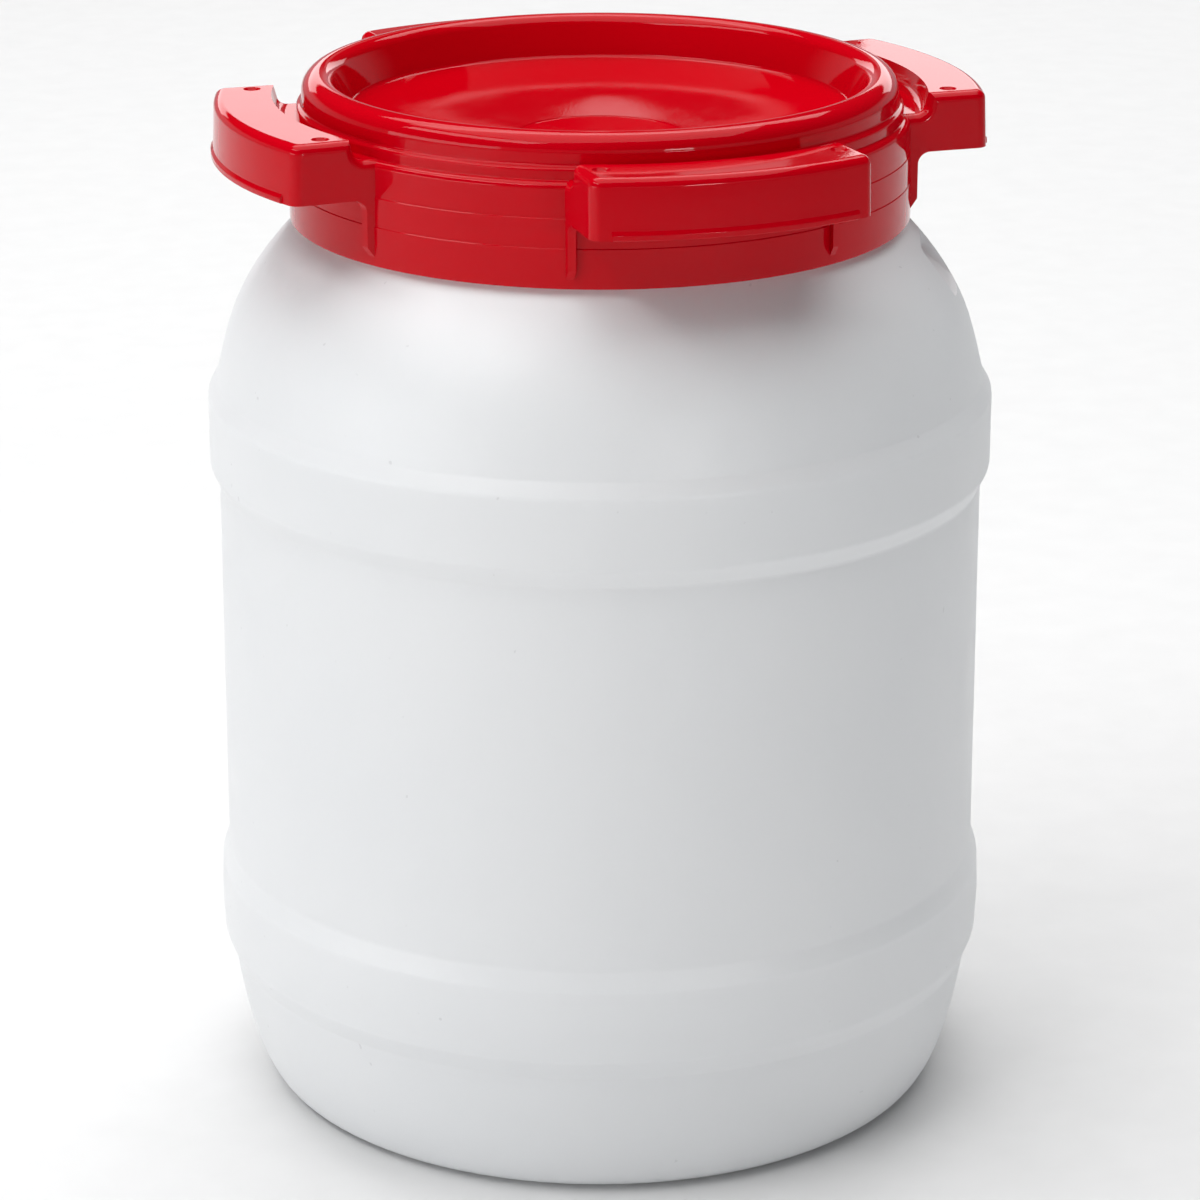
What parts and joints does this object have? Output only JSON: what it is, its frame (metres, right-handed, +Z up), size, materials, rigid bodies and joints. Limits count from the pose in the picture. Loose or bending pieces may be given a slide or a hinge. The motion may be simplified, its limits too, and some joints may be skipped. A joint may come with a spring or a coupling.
{
  "type": "wide-neck screw-lid drum",
  "caption": "Small plastic drum with raised rolling bands, a domed shoulder and a wide screw lid that has a dished top and hollow hand grips.",
  "frame": {"origin": "centre of the ring that the drum stands on", "axes": "+Z up the drum's axis through the lid; +X and +Y through the middles of two of the lid's grips when it is closed"},
  "size_m": [0.1982, 0.198, 0.2645],
  "materials": {
    "body_plastic": "satin, faint orange-peel grain of blown polyethylene",
    "lid_plastic": "glossy injection-moulded",
    "gasket_rubber": "matt"
  },
  "bodies": {
    "drum": {"drum_body": "body_plastic"},
    "seal": {"gasket": "gasket_rubber"},
    "lid": {"lid_top": "lid_plastic", "lid_skirt": "lid_plastic", "grip_right": "lid_plastic", "grip_back": "lid_plastic", "grip_left": "lid_plastic", "grip_front": "lid_plastic"}
  },
  "joints": [
    {"name": "lid_lift", "type": "slide", "parent": "drum", "child": "seal", "axis": [0, 0, 1], "range_m": [0, 0.0361]},
    {"name": "lid_turn", "type": "hinge", "parent": "seal", "child": "lid", "pos_m": [0, 0, 0.24], "axis": [0, 0, 1], "range_deg": [0, 720]}
  ],
  "couplings": [
    {"joint": "lid_lift", "follows": "lid_turn", "m_per_rad": 0.0028648}
  ]
}
